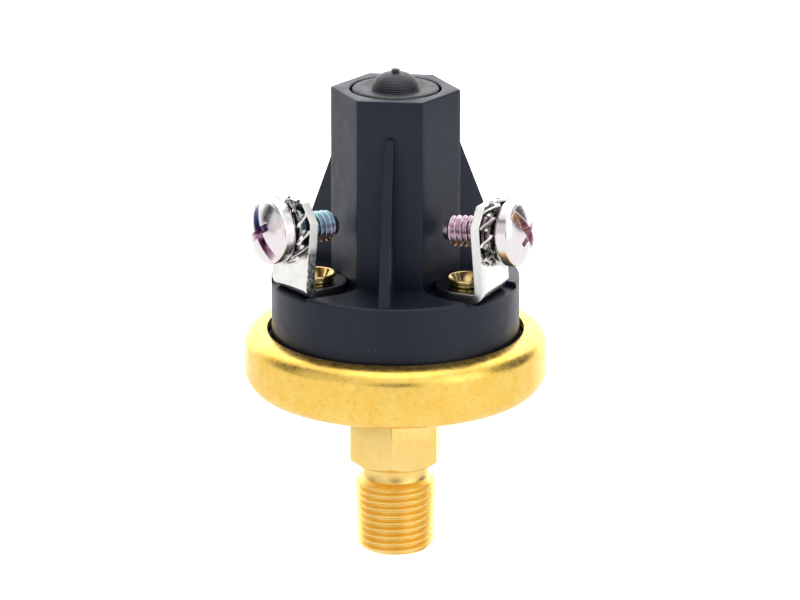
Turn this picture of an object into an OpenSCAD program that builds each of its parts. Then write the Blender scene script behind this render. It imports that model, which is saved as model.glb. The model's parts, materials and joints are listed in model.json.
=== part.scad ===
// Screw-terminal pressure switch: a brass cup on a taper pipe fitting, crimped
// around a moulded housing with a hexagonal column, two riveted terminals, and
// the diaphragm, plunger, contacts and adjustable range spring inside.
// Millimetres, +Z up. The origin is the centre of the pipe thread's lower end.

/* [Pipe fitting] */
// Pitch of the taper pipe thread
pipe_pitch = 0.9407; // [0.92:0.01:0.96]
// Radius over the crests at the thread's upper end
pipe_crest_r = 5.18; // [5.1:0.02:5.3]
// Number of full crests
pipe_crests = 9; // [7:1:9]
// Depth of the thread
pipe_depth = 0.62; // [0.4:0.02:0.7]
// Height of the thread and its lead-out chamfer
pipe_h = 9.55; // [9.4:0.05:9.8]
// Radius of the relief neck under the hexagon
neck_r = 4.22; // [4.0:0.02:4.4]
// Width across flats of the fitting's hexagon
fitting_af = 11.11; // [10.5:0.05:12]
// Height of the hexagon's lower face
fitting_z = 11.3; // [11:0.05:11.6]
// Radius of the pressure port
port_r = 2.05; // [1.5:0.05:2.4]

/* [Brass cup] */
// Outer radius of the cup
cup_r = 19.33; // [19:0.05:20]
// Thickness of the drawn sheet
cup_t = 1.1; // [0.9:0.05:1.2]
// Height of the cup's flat underside
cup_z = 21.35; // [21:0.05:21.6]
// Radius of the rolled lip's inner edge
lip_r = 16.37; // [16.2:0.02:16.6]
// Height of the rolled lip's inner edge
lip_z = 29.6; // [29.4:0.05:29.9]

/* [Housing] */
// Radius of the housing's round base
base_r = 15.82; // [15.6:0.02:16]
// Height of the base's top face
base_top_z = 36.6; // [36:0.1:37]
// Width across flats of the hexagonal column
column_af = 14.29; // [14:0.05:14.6]
// Height of the column's top face
column_top_z = 61; // [60:0.1:62]
// Thickness of the three ribs
rib_t = 1.27; // [1:0.05:1.5]
// Height of the ribs' blunt tops
rib_top_z = 56.2; // [52:0.1:57]
// How far a rib's blunt top stands off the column
rib_tip = 0.4; // [0.2:0.05:0.8]

/* [Terminals] */
// Distance of each eyelet from the switch's axis
eyelet_reach = 11; // [10.8:0.05:11.2]
// Angle by which each bracket is turned about its eyelet
bracket_twist = 10.3; // [0:0.5:12]
// Width of the terminal strip
strip_w = 7.94; // [7.5:0.02:8.2]
// Thickness of the terminal strip
strip_t = 1.2; // [1:0.05:1.3]
// Angle by which each upright leans inwards
leg_lean = 4.5; // [0:0.5:5]
// Length of the upright above the bend
leg_h = 10.5; // [10:0.1:11]
// Height of the screw above the bend
screw_h = 6.76; // [6.5:0.02:7]

/* [Terminal screws] */
// Pitch of the terminal screws
screw_pitch = 0.79375; // [0.7:0.01:0.8]
// Major radius of the terminal screws
screw_r = 2; // [1.9:0.01:2.08]
// Radius of the screw heads
head_r = 4.15; // [4:0.05:4.3]
// Height of the screw heads
head_h = 3.05; // [2.6:0.05:3.2]
// Space that the lock washer takes under the head
washer_space = 2.1; // [1.7:0.05:2.3]

/* [Switching] */
// Gap between the open contacts, which is the plunger's stroke
contact_gap = 0.8; // [0.6:0.05:0.9]
// Radius on which the contact buttons stand
contact_reach = 7.2; // [7:0.05:7.3]
// Mean radius of the range spring
spring_r = 3.15; // [3:0.05:3.2]
// Wire radius of the range spring
spring_wire_r = 0.42; // [0.3:0.02:0.45]
// Pitch of the range adjusting screw
adjust_pitch = 1.058; // [1:0.01:1.1]

/* [Hidden] */
$fn = 64;

// Overlap of a cutter past the face that it cuts
eps = 0.2;
// Places of the two terminals and of the ribs around the axis
left_at = 210;
right_at = 330;
rib_places = [30, 150, 270];

// The stack inside the cup, from the cup's floor up
floor_top_z = cup_z + cup_t;
gasket_h = 1.6;
gasket_r = 16.1;
diaphragm_t = 0.5;
diaphragm_z = floor_top_z + gasket_h;
flange_z = diaphragm_z + diaphragm_t;
flange_r = 17.6;
flange_top_z = 28.1;
plate_t = 1;
plunger_z = flange_z + plate_t;
plunger_disc_t = 1.45;
bridge_spring_z = plunger_z + plunger_disc_t;
bridge_spring_h = 1.6;
bridge_z = bridge_spring_z + bridge_spring_h;
bridge_t = 0.6;
button_h = 0.7;
button_r = 1.4;
fixed_button_z = bridge_z + bridge_t + button_h + contact_gap;
strip_z = fixed_button_z + button_h;
contact_strip_t = 0.8;
web_z = strip_z + contact_strip_t;
chamber_r = 9;
chamber_foot_r = 12.6;
chamber_foot_h = 1.6;
pocket_r = 3;
piston_r = 8.6;
stem_r = 3;
stem_top_z = 38;
spring_stem_r = 2;
lower_seat_t = 1;
range_spring_z = bridge_z + bridge_t + lower_seat_t;
range_spring_top_z = 44.3;
spring_turns = 8.5;

// The column's stepped bore, from the web up
spring_bore_r = 4.3;
insert_z = 45.2;
insert_r = 5.4;
insert_h = 6.4;
plug_ledge_z = 57.6;
plug_bore_r = 5.8;
adjust_r = 3.92;
adjust_z = 45.9;
adjust_h = 6;
running_gap = 0.05;

// The terminals
foot_z = 35.9;
foot_reach = 4.1;
bend_r = 1.6;
eyelet_r = 1.8;
eyelet_bore_r = 1.35;
foot_shift = 0.15;
recess_r = 5.5;
recess_z = foot_z;
leg_corner = 2.2;
screw_len = 8.5;
slot_turn = -53;

// ---- helpers ----

// Points on an arc about a centre, from one angle to another
function arc(centre, r, from, to, steps = 8) = [for (i = [0:steps])
    let (a = from + (to - from) * i / steps) centre + r * [cos(a), sin(a)]];

// Outline of a tab along +X: straight sides and a full-round inner end
function tab(r, reach, centre = 0) = concat(arc([centre, 0], r, 90, 270, 24),
    [[reach, -r], [reach, r]]);

// A ring of rectangular section
module ring(inner_r, outer_r, z, h) {
    translate([0, 0, z]) difference() {
        cylinder(r = outer_r, h = h);
        translate([0, 0, -eps]) cylinder(r = inner_r, h = h + 2 * eps);
    }
}

// A hexagonal prism, its corners on 0, 60, 120 degrees
module hexagon(af, z, h) {
    translate([0, 0, z]) cylinder(r = af / sqrt(3), h = h, $fn = 6);
}

// Puts its children on an eyelet's axis at the foot's underside, +X outwards
module at_eyelet(place) {
    rotate([0, 0, place]) translate([eyelet_reach, 0, foot_z])
        rotate([0, 0, bracket_twist]) children();
}

// Puts its children at a bend's centre, +X along the terminal screw's axis
module at_leg(place) {
    at_eyelet(place) translate([foot_reach - bend_r, 0, bend_r])
        rotate([0, -leg_lean, 0]) children();
}

// Puts its children on the leg's outer face, +Z outwards along the screw
module at_screw(place) {
    at_leg(place) translate([bend_r, 0, screw_h]) rotate([0, 90, 0]) children();
}

// Height of a coil's wire after t turns: closed end turns, open ones between
function coil_z(t, turns, wire_r, h) = let (d = 2.3 * wire_r, open = h - 2 * wire_r - 2 * d)
    wire_r + d * min(t, 1) + open * max(0, min(1, (t - 1) / (turns - 2)))
    + d * max(0, t - turns + 1);

// A compression spring standing on z = 0, wound from round wire
module coil_spring(mean_r, wire_r, turns, h, steps = 18, sides = 8) {
    rings = floor(turns * steps);
    points = [for (i = [0:rings], j = [0:sides - 1])
        let (a = 360 * i / steps, b = 360 * j / sides, r = mean_r + wire_r * cos(b))
        [r * cos(a), r * sin(a), coil_z(i / steps, turns, wire_r, h) + wire_r * sin(b)]];
    skin = [for (i = [0:rings - 1], j = [0:sides - 1])
        let (k = (j + 1) % sides, a = i * sides, b = a + sides)
        [a + j, a + k, b + k, b + j]];
    ends = [[for (j = [0:sides - 1]) sides - 1 - j],
        [for (j = [0:sides - 1]) rings * sides + j]];
    polyhedron(points, concat(skin, ends));
}

// ---- fitting, cup and seals ----

// Outline of the thread: flat crests that follow the 1 in 16 taper
function crest_r(z) = pipe_crest_r - (pipe_h - 0.75 - z) / 32;
function thread_outline() = [for (i = [0:pipe_crests - 1])
    let (z = 0.85 + i * pipe_pitch, r = crest_r(z), w = 0.09, f = pipe_pitch / 2 - w)
    each [[r - pipe_depth, z - f], [r, z - w], [r, z + w], [r - pipe_depth, z + f]]];

module port_fitting() {
    hex_r = fitting_af / sqrt(3);
    color("#dba565") difference() {
        union() {
            rotate_extrude() polygon(concat([[0, 0], [4.35, 0]], thread_outline(),
                [[pipe_crest_r - 0.3, pipe_h - 0.35], [neck_r, pipe_h],
                [neck_r, fitting_z + eps], [0, fitting_z + eps]]));
            intersection() {
                rotate([0, 0, 30]) hexagon(fitting_af, fitting_z, cup_z - fitting_z);
                rotate_extrude() polygon([[0, fitting_z], [hex_r - 1.35, fitting_z],
                    [hex_r + 0.02, fitting_z + 1], [hex_r + 0.02, cup_z], [0, cup_z]]);
            }
            translate([0, 0, cup_z - eps]) cylinder(r = 4, h = cup_t + 2 * eps);
            translate([0, 0, floor_top_z]) cylinder(r1 = 4.9, r2 = 4.5, h = 0.75);
        }
        translate([0, 0, -1]) cylinder(r = port_r, h = 30);
        translate([0, 0, -eps]) cylinder(r1 = port_r + 0.5 + eps, r2 = port_r, h = 0.5 + eps);
    }
}

// Wall section: a round bottom corner, a straight side and a rolled-in lip
module brass_cup() {
    corner_r = 3.1;
    shoulder = [cup_r - 2, lip_z - 2.2];
    tip = [lip_r, lip_z - 0.15];
    outer = concat([[4.02, cup_z]],
        arc([cup_r - corner_r, cup_z + corner_r], corner_r, -90, 0),
        arc(shoulder, 2, 0, 78), [tip + [0.25, 0.15], tip]);
    inner = concat([tip + [0.05, -cup_t + 0.2], tip + [0.45, -cup_t]],
        arc(shoulder, 2 - cup_t, 78, 0, 5),
        arc([cup_r - corner_r, cup_z + corner_r], corner_r - cup_t, 0, -90, 5),
        [[4.02, floor_top_z]]);
    color("#e5c45a") rotate_extrude($fn = 96) polygon(concat(outer, inner));
}

module chamber_gasket() {
    color("#3b3b3a") ring(13.4, gasket_r, floor_top_z, gasket_h);
}

// A thin disc with one rolled convolution between the plate and the clamped rim
module diaphragm() {
    roll_at = 11.3;
    roll_r = 0.9;
    color("#c9853f") rotate_extrude() difference() {
        union() {
            translate([0, diaphragm_z]) square([flange_r, diaphragm_t]);
            translate([roll_at, diaphragm_z + diaphragm_t]) circle(r = roll_r);
        }
        translate([roll_at, diaphragm_z + diaphragm_t]) circle(r = roll_r - diaphragm_t + 0.1);
        translate([roll_at - 2, diaphragm_z - 2]) square([4, 2]);
        translate([roll_at - roll_r + 0.4, diaphragm_z - eps])
            square([2 * roll_r - 0.8, diaphragm_t + eps]);
    }
}

// ---- moulded housing ----

module rib(place) {
    flat = column_af / 2 - 1;
    rotate([90, 0, place]) translate([0, 0, -rib_t / 2]) linear_extrude(rib_t)
        polygon([[flat, base_top_z - 1], [base_r - 0.42, base_top_z - 1],
            [base_r - 0.42, base_top_z], [column_af / 2 + rib_tip, rib_top_z],
            [flat, rib_top_z]]);
}

// A terminal's recess in the base's top, with the eyelet's bore under it
module terminal_recess(place) {
    rotate([0, 0, place]) {
        translate([eyelet_reach, 0, recess_z]) linear_extrude(3) polygon(tab(recess_r, 9));
        translate([eyelet_reach, 0, web_z - eps])
            cylinder(r = eyelet_r + 0.05, h = recess_z - web_z + 2 * eps);
    }
}

module housing() {
    edge = 0.35;
    color("#3c424c") difference() {
        union() {
            difference() {
                rotate_extrude($fn = 96) polygon([[0, flange_z], [flange_r, flange_z],
                    [flange_r, flange_top_z - 1], [flange_r - 1, flange_top_z],
                    [base_r, flange_top_z], [base_r, base_top_z - edge],
                    [base_r - edge, base_top_z], [0, base_top_z]]);
                terminal_recess(left_at);
                terminal_recess(right_at);
            }
            hexagon(column_af, recess_z - 1, column_top_z - recess_z + 1);
            for (place = rib_places) rib(place);
        }
        translate([0, 0, flange_z - eps]) cylinder(r = chamber_r, h = web_z - flange_z + eps);
        translate([0, 0, flange_z - eps]) cylinder(r = chamber_foot_r, h = chamber_foot_h + eps);
        for (place = [left_at, right_at]) rotate([0, 0, place])
            translate([eyelet_reach, 0, flange_z + chamber_foot_h - eps])
                cylinder(r = pocket_r, h = web_z - flange_z - chamber_foot_h + eps);
        translate([0, 0, web_z - eps]) cylinder(r = spring_bore_r, h = insert_z - web_z + 2 * eps);
        translate([0, 0, insert_z]) cylinder(r = insert_r, h = plug_ledge_z - insert_z + eps);
        translate([0, 0, plug_ledge_z]) cylinder(r = plug_bore_r, h = 5);
    }
}

module threaded_insert() {
    groove_depth = 0.8;
    color("#c9a24b") difference() {
        ring(adjust_r + running_gap, insert_r, insert_z, insert_h);
        for (z = [insert_z + 1.6, insert_z + 4])
            ring(insert_r - groove_depth, insert_r + eps, z, 0.8);
    }
}

module adjuster_plug() {
    flange_h = 3.5;
    dome_r = 3;
    dome_h = 1.95;
    dome_top = plug_ledge_z + flange_h + dome_h;
    ball_r = 3.45;
    color("#33363c") difference() {
        union() {
            translate([0, 0, plug_ledge_z]) cylinder(r1 = 5.6, r2 = 5.48, h = flange_h);
            intersection() {
                translate([0, 0, dome_top - ball_r]) sphere(r = ball_r);
                translate([0, 0, dome_top - dome_h]) cylinder(r = dome_r, h = dome_h);
            }
            translate([0, 0, dome_top - 0.4]) cylinder(r = 0.55, h = 0.8);
        }
        translate([0, 0, plug_ledge_z - eps]) cylinder(r = 4.2, h = 1.2 + eps);
    }
}

// ---- terminals ----

module terminal(place) {
    half = strip_w / 2;
    color("#e8e6df") difference() {
        union() {
            at_eyelet(place) linear_extrude(strip_t)
                polygon(tab(half - 0.01, foot_reach - bend_r + 0.02, foot_shift));
            at_leg(place) rotate([90, 0, 0]) translate([0, 0, -half]) linear_extrude(strip_w)
                polygon(concat(arc([0, 0], bend_r, -90 - leg_lean, 0),
                    [[bend_r, 0.4], [bend_r - strip_t, 0.4]],
                    arc([0, 0], bend_r - strip_t, 0, -90 - leg_lean)));
            at_leg(place) translate([bend_r - strip_t, 0, 0]) rotate([90, 0, 90])
                linear_extrude(strip_t) polygon([[-half, 0.2], [half, 0.2],
                    [half, leg_h - leg_corner], [half - leg_corner, leg_h],
                    [leg_corner - half, leg_h], [-half, leg_h - leg_corner]]);
        }
        at_eyelet(place) translate([0, 0, -eps])
            cylinder(r = eyelet_r + 0.02, h = strip_t + 2 * eps);
        at_screw(place) translate([0, 0, -strip_t - eps])
            cylinder(r = screw_r + running_gap, h = strip_t + 2 * eps);
    }
}

// A tubular rivet: a rolled foot under the contact strip, a funnel on top
module eyelet(place) {
    foot = strip_z - foot_z - 0.45;
    top = strip_t;
    color("#d9b24a") rotate([0, 0, place]) translate([eyelet_reach, 0, foot_z])
        rotate_extrude() polygon([[eyelet_bore_r, foot], [2.4, foot], [2.4, foot + 0.45],
            [eyelet_r, foot + 0.45], [eyelet_r, top], [1.95, top], [2.4, top + 0.95],
            [2.5, top + 1.15], [2.4, top + 1.3], [2.1, top + 1.3], [1.95, top + 1.1],
            [eyelet_bore_r, top + 0.15]]);
}

module contact_strip(place) {
    tip_r = 1.7;
    color("#c98a4b") rotate([0, 0, place]) translate([0, 0, strip_z]) difference() {
        union() {
            translate([eyelet_reach, 0, 0]) cylinder(r = 2.7, h = contact_strip_t);
            translate([contact_reach, -tip_r, 0])
                cube([eyelet_reach - contact_reach, 2 * tip_r, contact_strip_t]);
            translate([contact_reach, 0, 0]) cylinder(r = tip_r, h = contact_strip_t);
        }
        translate([eyelet_reach, 0, -eps])
            cylinder(r = eyelet_r + 0.02, h = contact_strip_t + 2 * eps);
    }
}

module contact_button(place, z) {
    color("#d7d9dc") rotate([0, 0, place]) translate([contact_reach, 0, z])
        cylinder(r = button_r, h = button_h);
}

// ---- plunger and its contacts ----

module pressure_plate() {
    color("#b9bcc0") translate([0, 0, flange_z]) cylinder(r = piston_r, h = plate_t);
}

module plunger() {
    color("#d8d2c2") translate([0, 0, plunger_z]) {
        cylinder(r = piston_r, h = plunger_disc_t);
        cylinder(r = stem_r, h = bridge_z + bridge_t - plunger_z);
        cylinder(r = spring_stem_r, h = stem_top_z - plunger_z);
    }
}

module bridge_spring() {
    color("#b4b8bd") translate([0, 0, bridge_spring_z])
        coil_spring(3.75, 0.19, 2.5, bridge_spring_h);
}

module contact_bridge() {
    color("#c98a4b") ring(stem_r + 0.1, contact_reach + button_r + 0.1, bridge_z, bridge_t);
}

module bridge_buttons() {
    for (place = [90, left_at, right_at]) contact_button(place, bridge_z + bridge_t);
}

module lower_spring_seat() {
    color("#b9bcc0") ring(spring_stem_r + 0.05, 3.9, bridge_z + bridge_t, lower_seat_t);
}

module range_spring() {
    color("#8d9197") translate([0, 0, range_spring_z])
        coil_spring(spring_r, spring_wire_r, spring_turns, range_spring_top_z - range_spring_z);
}

// ---- range adjustment ----

module upper_spring_seat() {
    color("#b9bcc0") {
        translate([0, 0, range_spring_top_z])
            cylinder(r = 3.65, h = adjust_z - range_spring_top_z);
        translate([0, 0, range_spring_top_z - 1.5]) cylinder(r = 2.3, h = 1.6);
    }
}

module adjusting_screw() {
    depth = 0.5;
    turns = floor((adjust_h - 1) / adjust_pitch);
    grooves = [for (i = [0:turns - 1]) let (z = adjust_z + 0.5 + i * adjust_pitch)
        each [[adjust_r, z + 0.15], [adjust_r - depth, z + adjust_pitch / 2 - 0.05],
            [adjust_r - depth, z + adjust_pitch / 2 + 0.05], [adjust_r, z + adjust_pitch - 0.15]]];
    color("#7d8187") difference() {
        rotate_extrude() polygon(concat([[0, adjust_z], [adjust_r - 0.4, adjust_z],
            [adjust_r, adjust_z + 0.4]], grooves, [[adjust_r, adjust_z + adjust_h - 0.4],
            [adjust_r - 0.4, adjust_z + adjust_h], [0, adjust_z + adjust_h]]));
        hexagon(3.97, adjust_z + adjust_h - 3.2, 4);
    }
}

// ---- terminal screws ----

// An external-tooth lock washer: a flat ring with twisted teeth
module lock_washer(place) {
    teeth = 12;
    color("#c8ccd0") at_screw(place) {
        ring(2.2, 3.55, washer_space / 2 - 0.25, 0.5);
        for (i = [0:teeth - 1]) rotate([0, 0, i * 360 / teeth])
            translate([3.75, 0, washer_space / 2]) rotate([-44, 0, 0])
                cube([1.15, washer_space - 0.05, 0.45], center = true);
    }
}

module terminal_screw(place) {
    depth = 0.4;
    tip = washer_space - screw_len;
    crests = floor((screw_len - 1) / screw_pitch);
    shank = [for (i = [0:crests - 1])
        let (z = tip + 0.7 + i * screw_pitch, r = min(screw_r, 1.3 + 0.4 * (z - tip)))
        each [[r - depth, z - screw_pitch / 2 + 0.05], [r, z - 0.07],
            [r, z + 0.07], [r - depth, z + screw_pitch / 2 - 0.05]]];
    rim_h = 1.7;
    dome_r = (head_r * head_r + pow(head_h - rim_h, 2)) / (2 * (head_h - rim_h));
    dome = arc([0, washer_space + head_h - dome_r], dome_r, asin(1 - (head_h - rim_h) / dome_r), 90);
    color("#cfd3dc") at_screw(place) difference() {
        rotate_extrude() polygon(concat([[0, tip], [0.9, tip]], shank,
            [[screw_r - depth, washer_space], [head_r, washer_space]], dome));
        rotate([0, 0, slot_turn]) {
            translate([-0.6, -head_r - eps, washer_space + head_h - 1.25])
                cube([1.2, 2 * head_r + 2 * eps, 2]);
            translate([-2.6, -0.6, washer_space + head_h - 1.6]) cube([5.2, 1.2, 2]);
        }
    }
}

housing();
brass_cup();
port_fitting();
chamber_gasket();
diaphragm();
threaded_insert();
terminal(left_at);  // left_terminal
terminal(right_at);  // right_terminal
eyelet(left_at);  // left_eyelet
eyelet(right_at);  // right_eyelet
contact_strip(left_at);  // left_contact_strip
contact_strip(right_at);  // right_contact_strip
contact_button(left_at, fixed_button_z);  // left_contact_button
contact_button(right_at, fixed_button_z);  // right_contact_button
pressure_plate();
plunger();
bridge_spring();
contact_bridge();
bridge_buttons();
lower_spring_seat();
range_spring();
upper_spring_seat();
adjusting_screw();
adjuster_plug();
lock_washer(left_at);  // left_lock_washer
lock_washer(right_at);  // right_lock_washer
terminal_screw(left_at);  // left_terminal_screw
terminal_screw(right_at);  // right_terminal_screw
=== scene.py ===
import json
from math import acos, asin, atan2, ceil, cos, degrees, hypot, pi, radians, sin, sqrt, tan

import bmesh
import bpy
import numpy as np
from mathutils import Matrix, Vector


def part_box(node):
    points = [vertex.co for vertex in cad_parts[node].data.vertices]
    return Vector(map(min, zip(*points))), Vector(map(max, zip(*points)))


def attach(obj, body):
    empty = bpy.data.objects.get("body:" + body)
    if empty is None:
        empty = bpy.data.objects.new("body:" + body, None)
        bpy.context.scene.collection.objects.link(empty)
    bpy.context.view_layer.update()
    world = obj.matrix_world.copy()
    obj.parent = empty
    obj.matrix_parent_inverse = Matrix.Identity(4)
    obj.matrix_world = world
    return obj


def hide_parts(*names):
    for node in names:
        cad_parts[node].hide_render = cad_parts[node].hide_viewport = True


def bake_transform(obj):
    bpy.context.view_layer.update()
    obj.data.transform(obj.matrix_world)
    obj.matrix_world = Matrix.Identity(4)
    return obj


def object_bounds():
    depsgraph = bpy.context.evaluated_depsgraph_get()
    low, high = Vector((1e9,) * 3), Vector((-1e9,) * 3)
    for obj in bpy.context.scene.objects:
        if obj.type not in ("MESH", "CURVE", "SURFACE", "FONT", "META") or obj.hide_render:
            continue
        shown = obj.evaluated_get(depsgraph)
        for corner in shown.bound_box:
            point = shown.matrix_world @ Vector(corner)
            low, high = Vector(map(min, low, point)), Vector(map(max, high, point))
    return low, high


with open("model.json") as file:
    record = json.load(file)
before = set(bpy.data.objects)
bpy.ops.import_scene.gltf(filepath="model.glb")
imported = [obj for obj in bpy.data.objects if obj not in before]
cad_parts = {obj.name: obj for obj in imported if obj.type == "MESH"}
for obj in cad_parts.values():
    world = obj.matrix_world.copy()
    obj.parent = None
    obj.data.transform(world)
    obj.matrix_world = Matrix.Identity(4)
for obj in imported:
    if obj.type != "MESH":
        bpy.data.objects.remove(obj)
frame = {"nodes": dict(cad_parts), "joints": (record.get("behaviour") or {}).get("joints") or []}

# The object is a screw-terminal pressure switch. Shapes are built in millimetres, +Z up,
# and every place comes from the CAD frame; mesh_piece() turns them into metres.
MM = 0.001
SHARP_ANGLE = 38  # degrees
WELD_DISTANCE = 1e-6  # metres
ON_AXIS = 1e-6  # millimetres
UPRIGHT = Vector((0, 0, 1))
CAD_BOX = [list(corner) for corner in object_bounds()]
scene = bpy.context.scene


# ---- reading the frame ----

def box_mm(node):
    """A CAD node's lowest and highest corners, in millimetres."""
    low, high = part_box(node)
    return np.array(low) / MM, np.array(high) / MM


def joint_axis(name):
    return Vector(next(joint["axis"] for joint in frame["joints"] if joint["name"] == name))


def eyelet_centre(side):
    """Where a terminal's eyelet stands in plan."""
    low, high = box_mm(f"{side}_eyelet")
    return ((low + high) / 2)[:2]


# ---- outlines ----

def arc(centre, radius, start, end, steps):
    """Points on an arc about a centre, from one angle to another in degrees."""
    angles = np.radians(np.linspace(start, end, steps + 1))
    return [np.array(centre) + radius * np.array((cos(a), sin(a))) for a in angles]


def soften(outline, closed=True, steps=4):
    """An outline of (x, y, radius) corners, each rounded to its radius."""
    points = []
    count = len(outline)
    for i, (x, y, radius) in enumerate(outline):
        corner = np.array((x, y))
        if radius == 0 or (not closed and i in (0, count - 1)):
            points.append(corner)
            continue
        back = np.array(outline[i - 1][:2]) - corner
        ahead = np.array(outline[(i + 1) % count][:2]) - corner
        lengths = np.linalg.norm(back), np.linalg.norm(ahead)
        back, ahead = back / lengths[0], ahead / lengths[1]
        half = acos(np.clip(back @ ahead, -1, 1)) / 2
        reach = min(radius / tan(half), 0.48 * lengths[0], 0.48 * lengths[1])
        radius = reach * tan(half)
        middle = (back + ahead) / np.linalg.norm(back + ahead)
        centre = corner + middle * radius / sin(half)
        first, last = corner + back * reach - centre, corner + ahead * reach - centre
        turn = pi - 2 * half
        for k in range(steps + 1):
            t = k / steps
            point = (sin((1 - t) * turn) * first + sin(t * turn) * last) / sin(turn)
            points.append(centre + point)
    return points


# ---- meshes ----

def mesh_piece(name, points, faces, sharp=SHARP_ANGLE):
    """An object of these points, in millimetres; edges sharper than the angle stay crisp."""
    mesh = bpy.data.meshes.new(name)
    mesh.from_pydata([tuple(p) for p in np.asarray(points, float) * MM], [], faces)
    return object_of(name, mesh, sharp)


def object_of(name, mesh, sharp):
    """An object in the scene for a mesh that is already in metres."""
    piece = bpy.data.objects.new(name, mesh)
    scene.collection.objects.link(piece)
    shade(piece, sharp)
    return piece


def shade(piece, sharp=SHARP_ANGLE):
    """Welds a piece's doubled points, turns its faces outwards and shades it smooth."""
    work = bmesh.new()
    work.from_mesh(piece.data)
    bmesh.ops.remove_doubles(work, verts=work.verts, dist=WELD_DISTANCE)
    bmesh.ops.recalc_face_normals(work, faces=work.faces)
    for face in work.faces:
        face.smooth = True
    for edge in work.edges:
        edge.smooth = len(edge.link_faces) == 2 and edge.calc_face_angle(0) < radians(sharp)
    work.to_mesh(piece.data)
    work.free()


def skin(columns, closed_profile):
    """(points, faces) of a surface over columns of points, an array (around, along, 3).
    A closed profile joins each column's ends; an open one has a face over each end."""
    around, along, _ = columns.shape
    faces = []
    for i in range(around):
        j = (i + 1) % around
        for k in range(along if closed_profile else along - 1):
            m = (k + 1) % along
            faces.append((i * along + k, j * along + k, j * along + m, i * along + m))
    if not closed_profile:
        faces.append(tuple(i * along for i in range(around)))
        faces.append(tuple(i * along + along - 1 for i in reversed(range(around))))
    return columns.reshape(-1, 3), faces


def skin_with_caps(rows):
    """(points, faces) over closed rings of points, with a face on each end."""
    count, around, _ = rows.shape
    faces = [(k * around + i, k * around + (i + 1) % around,
              (k + 1) * around + (i + 1) % around, (k + 1) * around + i)
             for k in range(count - 1) for i in range(around)]
    faces.append(tuple(reversed(range(around))))
    faces.append(tuple(range((count - 1) * around, count * around)))
    return rows.reshape(-1, 3), faces


def column_at(outline, angle):
    """An outline of (radius, height) points, stood up at an angle round Z."""
    radii, heights = np.array(outline, float).T
    return np.column_stack((radii * cos(angle), radii * sin(angle), heights))


def turned(outline, segments, closed_profile=True):
    """(points, faces) of an outline of (radius, height) points turned about Z.
    An open outline starts and ends on the axis, where each end becomes a flat face."""
    outline = [point for point in outline if closed_profile or point[0] > ON_AXIS]
    angles = np.linspace(0, 2 * pi, segments, endpoint=False)
    return skin(np.stack([column_at(outline, angle) for angle in angles]), closed_profile)


def joined(*parts):
    """Several (points, faces) as one."""
    points, faces = [], []
    for some_points, some_faces in parts:
        start = len(points)
        points.extend(some_points)
        faces.extend(tuple(start + index for index in face) for face in some_faces)
    return np.array(points), faces


def moved(part, matrix):
    """(points, faces) carried by a 4 x 4 matrix."""
    points, faces = part
    matrix = np.array(matrix)
    return np.asarray(points) @ matrix[:3, :3].T + matrix[:3, 3], faces


def prism(outline, low, high):
    """(points, faces) of an outline in plan, raised from one height to another."""
    return skin_with_caps(np.array([[(x, y, z) for x, y in outline] for z in (low, high)]))


def circle(radius, steps, centre=(0, 0)):
    return arc(centre, radius, 0, 360, steps)[:-1]


def rectangle(half_x, half_y):
    """A rectangle's corners round the origin, anticlockwise."""
    return [(-half_x, -half_y), (half_x, -half_y), (half_x, half_y), (-half_x, half_y)]


def spun(part, angle):
    """(points, faces) turned about Z by an angle in degrees."""
    return moved(part, Matrix.Rotation(radians(angle), 4, "Z"))


def cut(piece, *cutters):
    """Cuts the (points, faces) solids out of a piece."""
    for index, (points, faces) in enumerate(cutters):
        tool = mesh_piece(f"cutter_{index}", points, faces)
        change = piece.modifiers.new("cut", "BOOLEAN")
        change.operation = "DIFFERENCE"
        change.solver = "EXACT"
        change.object = tool
        settle(piece)
        bpy.data.objects.remove(tool)


def settle(piece):
    """Applies a piece's modifiers."""
    ready = piece.evaluated_get(bpy.context.evaluated_depsgraph_get())
    mesh = bpy.data.meshes.new_from_object(ready)
    old = piece.data
    piece.modifiers.clear()
    piece.data = mesh
    bpy.data.meshes.remove(old)
    mesh.name = piece.name


def merge(piece, other):
    """Adds another piece's mesh to a piece."""
    work = bmesh.new()
    work.from_mesh(piece.data)
    work.from_mesh(other.data)
    work.to_mesh(piece.data)
    work.free()
    bpy.data.objects.remove(other)


# ---- materials ----

FINISHES = {}


class Nodes:
    """A node tree. The methods add nodes and return their output sockets."""

    def __init__(self, tree):
        self.tree = tree

    def feed(self, socket, value):
        if isinstance(value, bpy.types.NodeSocket):
            self.tree.links.new(value, socket)
        else:
            socket.default_value = value

    def node(self, kind, sockets=None, **settings):
        made = self.tree.nodes.new("ShaderNode" + kind)
        for key, value in settings.items():
            setattr(made, key, value)
        for key, value in (sockets or {}).items():
            self.feed(made.inputs[key], value)
        return made

    def maths(self, operation, first, second):
        return self.node("Math", {0: first, 1: second}, operation=operation).outputs[0]


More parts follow.
